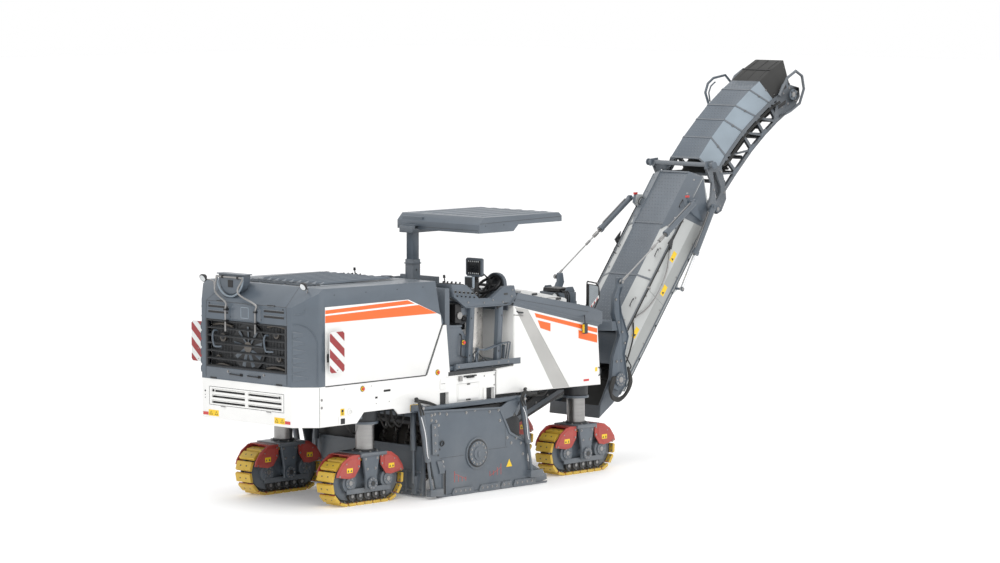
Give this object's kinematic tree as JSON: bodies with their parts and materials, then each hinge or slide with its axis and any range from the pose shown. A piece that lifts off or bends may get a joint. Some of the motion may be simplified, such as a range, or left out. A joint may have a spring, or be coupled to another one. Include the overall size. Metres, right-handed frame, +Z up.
{
  "type": "tracked cold planer milling machine",
  "caption": "Road milling machine on four steered tracks with a milling drum under the middle, a canopy over the platform and a folding discharge conveyor in front.",
  "frame": {"origin": "on the ground under the middle of the machine's overall box", "axes": "+X forward, towards the discharge conveyor; +Y to the machine's left; +Z up"},
  "size_m": [11.2766, 2.71, 5.86],
  "materials": {
    "track_shoes": "yellow painted track shoes, satin, worn",
    "red_guard": "red enamel, satin",
    "white_paint": "white enamel, satin gloss",
    "black_rubber": "matt black rubber",
    "chrome_rod": "polished hard chrome",
    "silver_paint": "light grey enamel, satin",
    "worn_steel": "bare steel, worn",
    "seat_cover": "black seat cover, grained",
    "dark_paint": "near black enamel, matt",
    "slate_paint": "blue grey enamel, satin"
  },
  "bodies": {
    "machine": {"chassis_frame": "dark_paint", "rear_panel": "white_paint", "side_panel_right": "white_paint", "side_panel_left": "white_paint", "engine_block": "dark_paint", "plate_cylinders_right": "slate_paint", "plate_cylinders_left": "slate_paint", "scraper_cylinders": "slate_paint", "drum_housing": "dark_paint", "platform_deck": "slate_paint", "consoles": "slate_paint", "control_stand": "dark_paint", "seats": "seat_cover", "canopy_post": "slate_paint", "front_body": "white_paint", "front_cover": "slate_paint", "primary_conveyor": "dark_paint"},
    "hood": {"hood_shell": "slate_paint", "hood_side_right": "white_paint", "hood_side_left": "white_paint", "hood_grille": "dark_paint", "hood_air_unit": "slate_paint"},
    "door": {"service_door": "white_paint"},
    "canopy": {"canopy_mast": "slate_paint", "canopy_roof": "slate_paint"},
    "drum": {"milling_drum": "worn_steel"},
    "right_plate": {"side_plate_right": "slate_paint"},
    "left_plate": {"side_plate_left": "slate_paint"},
    "scraper_blade": {"scraper": "slate_paint"},
    "yoke": {"conveyor_yoke": "slate_paint"},
    "lower_section": {"conveyor_lower": "silver_paint", "conveyor_cover_lower": "slate_paint", "belt_lower": "black_rubber"},
    "upper_section": {"conveyor_upper": "slate_paint", "conveyor_cover_upper": "slate_paint", "head_hood": "black_rubber", "belt_upper": "black_rubber"},
    "stay_barrels": {"stay_cylinder_right": "slate_paint", "stay_cylinder_left": "slate_paint"},
    "stay_ropes": {"stay_rope_right": "chrome_rod", "stay_rope_left": "chrome_rod"},
    "fold_barrels": {"fold_cylinder_right": "slate_paint", "fold_cylinder_left": "slate_paint"},
    "fold_rods": {"fold_rod_right": "chrome_rod", "fold_rod_left": "chrome_rod"},
    "rear_right_leg": {"leg_rear_right": "slate_paint", "track_rear_right": "track_shoes", "guard_rear_right": "red_guard"},
    "rear_left_leg": {"leg_rear_left": "slate_paint", "track_rear_left": "track_shoes", "guard_rear_left": "red_guard"},
    "front_right_leg": {"leg_front_right": "slate_paint", "track_front_right": "track_shoes", "guard_front_right": "red_guard"},
    "front_left_leg": {"leg_front_left": "slate_paint", "track_front_left": "track_shoes", "guard_front_left": "red_guard"}
  },
  "joints": [
    {"name": "rear_right_steer", "type": "hinge", "parent": "machine", "child": "rear_right_leg", "pos_m": [-4.1833, -0.82, 1], "axis": [0, 0, 1], "range_deg": [-25, 25]},
    {"name": "rear_left_steer", "type": "hinge", "parent": "machine", "child": "rear_left_leg", "pos_m": [-4.1833, 0.82, 1], "axis": [0, 0, 1], "range_deg": [-25, 25]},
    {"name": "front_right_steer", "type": "hinge", "parent": "machine", "child": "front_right_leg", "pos_m": [0.1067, -0.82, 1], "axis": [0, 0, 1], "range_deg": [-25, 25]},
    {"name": "front_left_steer", "type": "hinge", "parent": "machine", "child": "front_left_leg", "pos_m": [0.1067, 0.82, 1], "axis": [0, 0, 1], "range_deg": [-25, 25]},
    {"name": "hood_open", "type": "hinge", "parent": "machine", "child": "hood", "pos_m": [-3.1233, 0, 3.05], "axis": [0, 1, 0], "range_deg": [0, 40]},
    {"name": "service_door_open", "type": "hinge", "parent": "machine", "child": "door", "pos_m": [-2.4893, -1.162, 1.5463], "axis": [-1, 0, 0], "range_deg": [0, 95]},
    {"name": "canopy_lower", "type": "slide", "parent": "machine", "child": "canopy", "axis": [0, 0, 1], "range_m": [-0.35, 0]},
    {"name": "drum_spin", "type": "hinge", "parent": "machine", "child": "drum", "pos_m": [-2.4233, 0, 0.56], "axis": [0, 1, 0], "continuous": true},
    {"name": "right_plate_lift", "type": "slide", "parent": "machine", "child": "right_plate", "axis": [-0.1822, 0, 0.9833], "range_m": [0, 0.3]},
    {"name": "left_plate_lift", "type": "slide", "parent": "machine", "child": "left_plate", "axis": [-0.1822, 0, 0.9833], "range_m": [0, 0.3]},
    {"name": "scraper_lift", "type": "slide", "parent": "machine", "child": "scraper_blade", "axis": [0, 0, 1], "range_m": [0, 0.3]},
    {"name": "conveyor_swivel", "type": "hinge", "parent": "machine", "child": "yoke", "pos_m": [0.8467, 0, 1.8], "axis": [0, 0, 1], "range_deg": [-60, 60]},
    {"name": "conveyor_lift", "type": "hinge", "parent": "yoke", "child": "lower_section", "pos_m": [1.2867, 0, 1.245], "axis": [0, -1, 0], "range_deg": [-24, 2]},
    {"name": "conveyor_fold", "type": "hinge", "parent": "lower_section", "child": "upper_section", "pos_m": [3.5467, 0, 3.66], "axis": [0, 1, 0], "range_deg": [0, 155]},
    {"name": "stay_swing", "type": "hinge", "parent": "lower_section", "child": "stay_barrels", "pos_m": [2.9167, 0, 3.8], "axis": [0, -1, 0], "range_deg": [-8, 8]},
    {"name": "stay_slide", "type": "slide", "parent": "stay_barrels", "child": "stay_ropes", "axis": [-0.8321, 0, -0.5547], "range_m": [-0.06, 0.6]},
    {"name": "fold_swing", "type": "hinge", "parent": "upper_section", "child": "fold_barrels", "pos_m": [3.3917, 0, 3.7], "axis": [0, 1, 0], "range_deg": [-150, 2]},
    {"name": "fold_slide", "type": "slide", "parent": "fold_barrels", "child": "fold_rods", "axis": [-0.5119, 0, -0.8591], "range_m": [-0.01, 0.2]}
  ],
  "couplings": [
    {"joint": "rear_left_steer", "follows": "rear_right_steer", "ratio": 1},
    {"joint": "front_left_steer", "follows": "front_right_steer", "ratio": 1},
    {"joint": "stay_swing", "follows": "conveyor_lift", "ratio": 0.20176},
    {"joint": "stay_slide", "follows": "conveyor_lift", "m_per_rad": -1.3713},
    {"joint": "fold_swing", "follows": "conveyor_fold", "ratio": -0.93526},
    {"joint": "fold_slide", "follows": "conveyor_fold", "m_per_rad": 0.06458}
  ]
}
